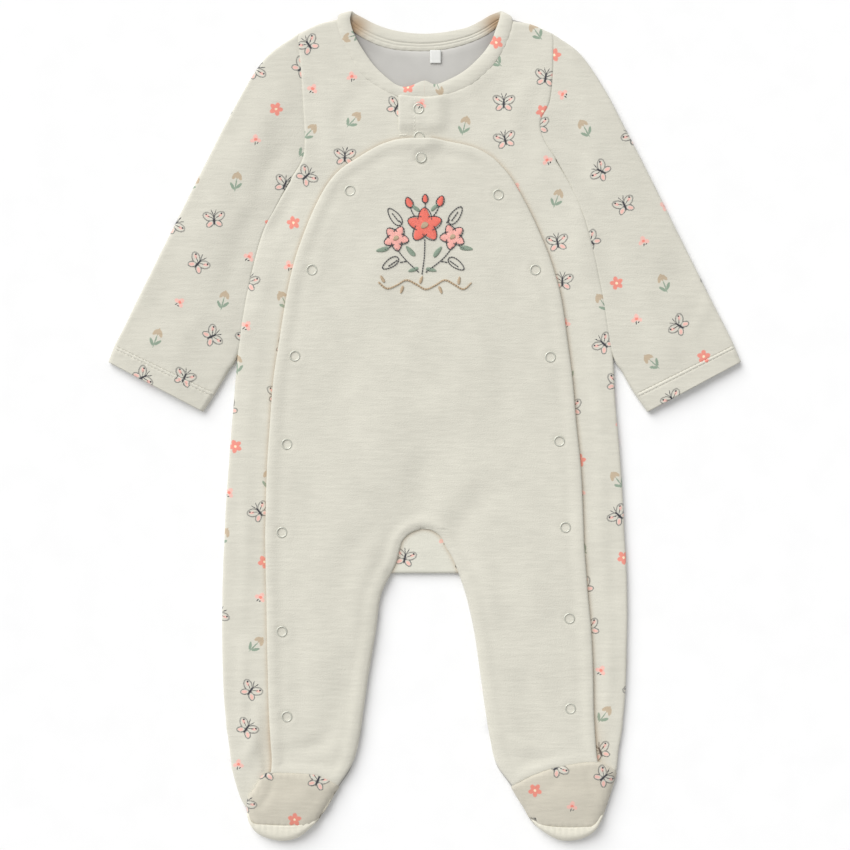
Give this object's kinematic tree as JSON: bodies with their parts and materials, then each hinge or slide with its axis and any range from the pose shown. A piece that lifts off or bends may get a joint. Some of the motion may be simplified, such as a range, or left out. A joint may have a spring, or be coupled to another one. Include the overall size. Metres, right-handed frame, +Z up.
{
  "type": "baby sleepsuit",
  "caption": "Footed long-sleeved baby sleepsuit laid flat, with a plain bib front snapped along both edges onto printed front pieces.",
  "frame": {"origin": "centre of the underside, on the surface that the suit lies on", "axes": "+X to the right of the picture, +Y from the feet towards the neck, +Z up out of the surface, from the back of the suit to its front"},
  "size_m": [0.4434, 0.5802, 0.0094],
  "materials": {
    "velour_printed": "short-pile cotton velour with a small tossed print",
    "velour_plain": "plain short-pile cotton velour",
    "label_tape": "smooth satin tape",
    "snap_metal": "pale satin ring"
  },
  "bodies": {
    "root": {"back_body": "velour_printed", "crotch_gusset": "velour_printed", "front_left": "velour_printed", "front_right": "velour_printed", "bib_front": "velour_plain", "sleeve_left": "velour_printed", "sleeve_right": "velour_printed", "neckband": "velour_plain", "foot_instep_left": "velour_printed", "foot_instep_right": "velour_printed", "foot_sole_left": "velour_plain", "foot_sole_right": "velour_plain", "neck_label": "label_tape", "snap_01": "snap_metal", "snap_02": "snap_metal", "snap_03": "snap_metal", "snap_04": "snap_metal", "snap_05": "snap_metal", "snap_06": "snap_metal", "snap_07": "snap_metal", "snap_08": "snap_metal", "snap_09": "snap_metal", "snap_10": "snap_metal", "snap_11": "snap_metal", "snap_12": "snap_metal", "snap_13": "snap_metal", "snap_14": "snap_metal", "snap_15": "snap_metal", "snap_16": "snap_metal", "snap_17": "snap_metal"}
  },
  "joints": []
}
